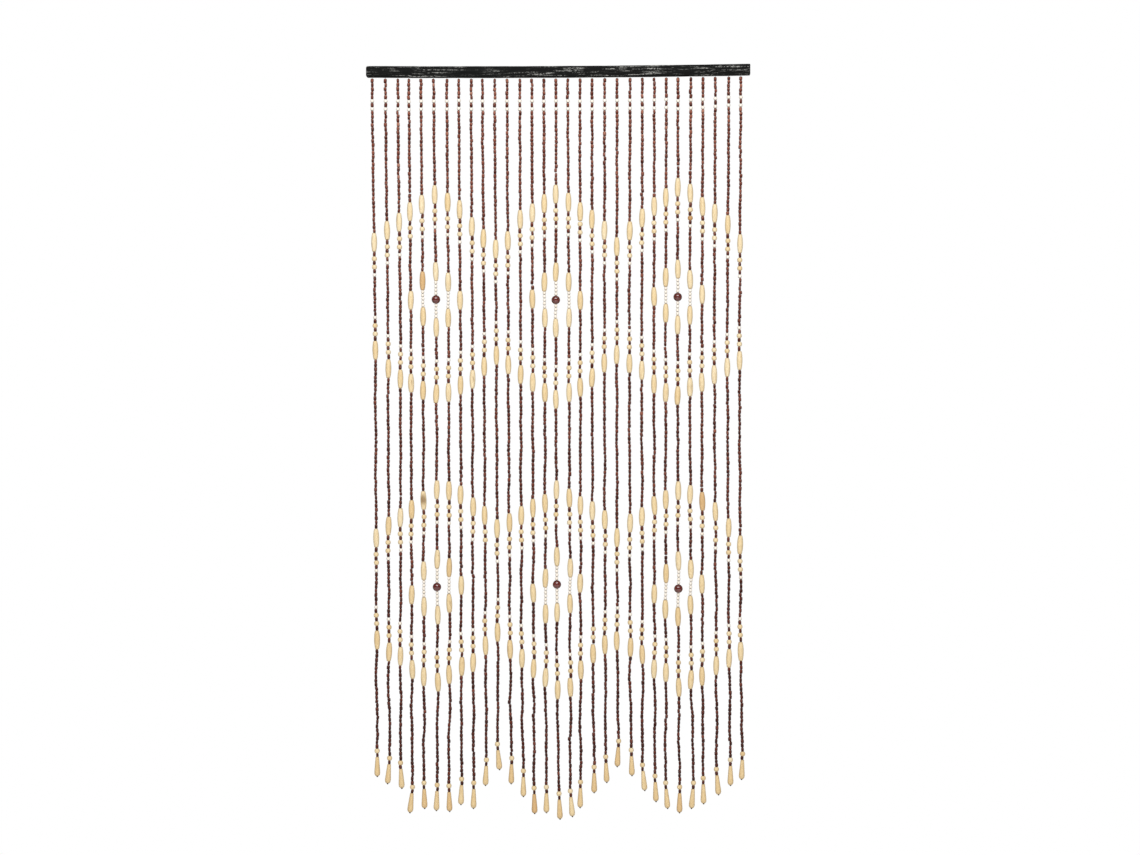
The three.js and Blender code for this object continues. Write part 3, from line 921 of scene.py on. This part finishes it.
def bar_piece():
    left, right = -BAR_LENGTH / 2, BAR_LENGTH / 2
    stations = []
    for d in (0, 0.2, 0.7, 1.5, 2.7, CORNER_LEFT):
        stations.append((left + d, CORNER_LEFT - math.sqrt(max(0, CORNER_LEFT**2 - (CORNER_LEFT - d) ** 2))))
    for x in np.linspace(left + CORNER_LEFT, right - CORNER_RIGHT, 170)[1:-1]:
        stations.append((float(x), 0.0))
    for d in (CORNER_RIGHT, 1.2, 0.5, 0.12, 0):
        stations.append((right - d, CORNER_RIGHT - math.sqrt(max(0, CORNER_RIGHT**2 - (CORNER_RIGHT - d) ** 2))))
    bm = bmesh.new()
    rings = []
    for x, inset in stations:
        rings.append([bm.verts.new((x * MM, y * MM, z * MM)) for y, z in bar_section(x, inset)])
    for a, b in zip(rings, rings[1:]):
        for k in range(len(a)):
            n = (k + 1) % len(a)
            bm.faces.new((a[k], a[n], b[n], b[k]))
    bm.faces.new(rings[0])
    bm.faces.new(rings[-1][::-1])
    bmesh.ops.recalc_face_normals(bm, faces=bm.faces)
    me = bpy.data.meshes.new("header_batten")
    bm.to_mesh(me)
    bm.free()
    ob = bpy.data.objects.new("header_batten", me)
    bpy.context.collection.objects.link(ob)

    # What is cut away: the groove along the top, then a hole for each string.
    cut = bmesh.new()
    half = GROOVE_WIDTH / 2
    floor, over = BAR_HEIGHT / 2 - GROOVE_DEPTH, BAR_HEIGHT / 2 + 4
    rings = []
    for x in np.linspace(left + GROOVE_ENDS, right - GROOVE_ENDS, 170):
        rings.append(
            [
                cut.verts.new((x * MM, (STRING_Y + y) * MM, (z + bow(x)) * MM))
                for y, z in ((-half, floor), (half, floor), (half, over), (-half, over))
            ]
        )
    for a, b in zip(rings, rings[1:]):
        for k in range(4):
            n = (k + 1) % 4
            cut.faces.new((a[k], a[n], b[n], b[k]))
    cut.faces.new(rings[0])
    cut.faces.new(rings[-1][::-1])
    bmesh.ops.recalc_face_normals(cut, faces=cut.faces)
    groove = bpy.data.meshes.new("groove")
    cut.to_mesh(groove)
    cut.free()
    cut = bmesh.new()
    for s in strings:
        low, high = bow(s["bar"]) - BAR_HEIGHT / 2 - 4, bow(s["bar"]) + floor + 1.5
        two = [
            [
                cut.verts.new(((s["bar"] + HOLE_RADIUS * math.cos(a)) * MM, (STRING_Y + HOLE_RADIUS * math.sin(a)) * MM, z * MM))
                for a in np.arange(14) * 2 * math.pi / 14
            ]
            for z in (low, high)
        ]
        for k in range(14):
            n = (k + 1) % 14
            cut.faces.new((two[0][k], two[0][n], two[1][n], two[1][k]))
        cut.faces.new(two[0][::-1])
        cut.faces.new(two[1])
    bmesh.ops.recalc_face_normals(cut, faces=cut.faces)
    holes = bpy.data.meshes.new("holes")
    cut.to_mesh(holes)
    cut.free()
    for cutter_mesh in (groove, holes):
        cutter = bpy.data.objects.new(cutter_mesh.name, cutter_mesh)
        bpy.context.collection.objects.link(cutter)
        b = ob.modifiers.new("cut", "BOOLEAN")
        b.operation, b.solver, b.object = "DIFFERENCE", "EXACT", cutter
        dg = bpy.context.evaluated_depsgraph_get()
        done = bpy.data.meshes.new_from_object(ob.evaluated_get(dg))
        ob.modifiers.clear()
        ob.data = done
        bpy.data.objects.remove(cutter)
        bpy.data.meshes.remove(cutter_mesh)
    ob.data.name = "header_batten"
    ob.data.materials.clear()
    ob.data.materials.append(BLACK)
    bar_map(ob.data)
    ob.data.shade_smooth()
    ob.data.set_sharp_from_angle(angle=math.radians(38))
    return ob


bar = bar_piece()
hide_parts("header_bar")
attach(bar, "root")


def cord_run():
    """The cord that lies in the groove and joins the strings: a tube that dips a little at each hole."""
    first, last = strings[0]["bar"] - 2, strings[-1]["bar"] + 2
    around, radius = 8, 0.9
    height = BAR_HEIGHT / 2 - GROOVE_DEPTH + 1.5
    bars = np.array([s["bar"] for s in strings])
    points, faces = [], []
    xs = np.linspace(first, last, 300)
    for x in xs:
        near = np.abs(bars - x).min()
        dip = -0.35 * math.exp(-((near / 2.5) ** 2))
        y = STRING_Y + 0.35 * math.sin(x / 23) + 0.2 * math.sin(x / 9)
        points += [
            (x * MM, (y + radius * math.cos(a)) * MM, (bow(x) + height + dip + radius * math.sin(a)) * MM)
            for a in np.arange(around) * 2 * math.pi / around
        ]
    for k in range(len(xs) - 1):
        for j in range(around):
            m = (j + 1) % around
            faces.append((k * around + j, (k + 1) * around + j, (k + 1) * around + m, k * around + m))
    faces.append(tuple(range(around)))
    faces.append(tuple(len(points) - 1 - k for k in range(around)))
    me = bpy.data.meshes.new("cord_run")
    me.from_pydata(points, [], faces)
    bm = bmesh.new()
    bm.from_mesh(me)
    bmesh.ops.recalc_face_normals(bm, faces=bm.faces)
    bm.to_mesh(me)
    bm.free()
    me.materials.append(CORD)
    me.shade_smooth()
    ob = bpy.data.objects.new("cord_run", me)
    bpy.context.collection.objects.link(ob)
    return ob


run = cord_run()
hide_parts("string_comb")
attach(run, "root")

# ---------------------------------------------------------------- the stage: a pale floor, a white room and soft light
floor_mesh = bpy.data.meshes.new("floor")
FLOOR_Z = -2.05
floor_mesh.from_pydata(
    [(-6, -7, FLOOR_Z), (6, -7, FLOOR_Z), (6, 0.95, FLOOR_Z), (-6, 0.95, FLOOR_Z)], [], [(0, 1, 2, 3)]
)
floor = bpy.data.objects.new("floor", floor_mesh)
bpy.context.collection.objects.link(floor)
m, nt, bsdf = new_material("pale_floor")
soft = noise(nt, add(nt, "ShaderNodeTexCoord").outputs["Object"], scale=3.0)
link(nt, mix(nt, span(nt, soft, 0.3, 0.7), (0.88, 0.88, 0.87), (0.84, 0.84, 0.83)), bsdf.inputs["Base Color"])
bsdf.inputs["Roughness"].default_value = 0.9
floor_mesh.materials.append(m)

world = bpy.data.worlds.new("room")
bpy.context.scene.world = world
world.use_nodes = True
nt = world.node_tree
nt.nodes.clear()
out = nt.nodes.new("ShaderNodeOutputWorld")
seen, lit, both = nt.nodes.new("ShaderNodeBackground"), nt.nodes.new("ShaderNodeBackground"), nt.nodes.new("ShaderNodeMixShader")
gloss, unseen, rays = nt.nodes.new("ShaderNodeBackground"), nt.nodes.new("ShaderNodeMixShader"), nt.nodes.new("ShaderNodeLightPath")
seen.inputs[0].default_value, seen.inputs[1].default_value = (1, 1, 1, 1), 1.0
lit.inputs[0].default_value, lit.inputs[1].default_value = (1, 0.99, 0.98, 1), 0.22
gloss.inputs[0].default_value, gloss.inputs[1].default_value = (1, 0.96, 0.92, 1), 0.06
nt.links.new(rays.outputs["Is Glossy Ray"], unseen.inputs[0])
nt.links.new(lit.outputs[0], unseen.inputs[1])
nt.links.new(gloss.outputs[0], unseen.inputs[2])
nt.links.new(rays.outputs["Is Camera Ray"], both.inputs[0])
nt.links.new(unseen.outputs[0], both.inputs[1])
nt.links.new(seen.outputs[0], both.inputs[2])
nt.links.new(both.outputs[0], out.inputs[0])


def softbox(name, place, aim, size, power, mirrored=True):
    data = bpy.data.lights.new(name, "AREA")
    data.shape = "RECTANGLE"
    data.size, data.size_y = size
    data.energy = power
    ob = bpy.data.objects.new(name, data)
    bpy.context.collection.objects.link(ob)
    ob.location = place
    ob.visible_glossy = mirrored
    toward = np.array(aim, float) - np.array(place, float)
    toward /= np.linalg.norm(toward)
    from mathutils import Vector

    ob.rotation_euler = Vector(toward).to_track_quat("-Z", "Y").to_euler()
    return ob


softbox("key", (0.0, -3.4, 2.5), (0, 0, -0.85), (4.6, 2.4), 198)
softbox("low_fill", (0.0, -3.9, -1.72), (0, 0, -1.2), (3.0, 0.5), 24, mirrored=False)
softbox("fill_left", (-2.6, -3.5, -0.9), (0, 0, -0.9), (1.2, 2.2), 25, mirrored=False)
softbox("fill_right", (2.6, -3.5, -0.9), (0, 0, -0.9), (1.2, 2.2), 25, mirrored=False)

scene = bpy.context.scene
scene.view_settings.view_transform = "Standard"
scene.view_settings.look = "None"
scene.view_settings.exposure = 0.0
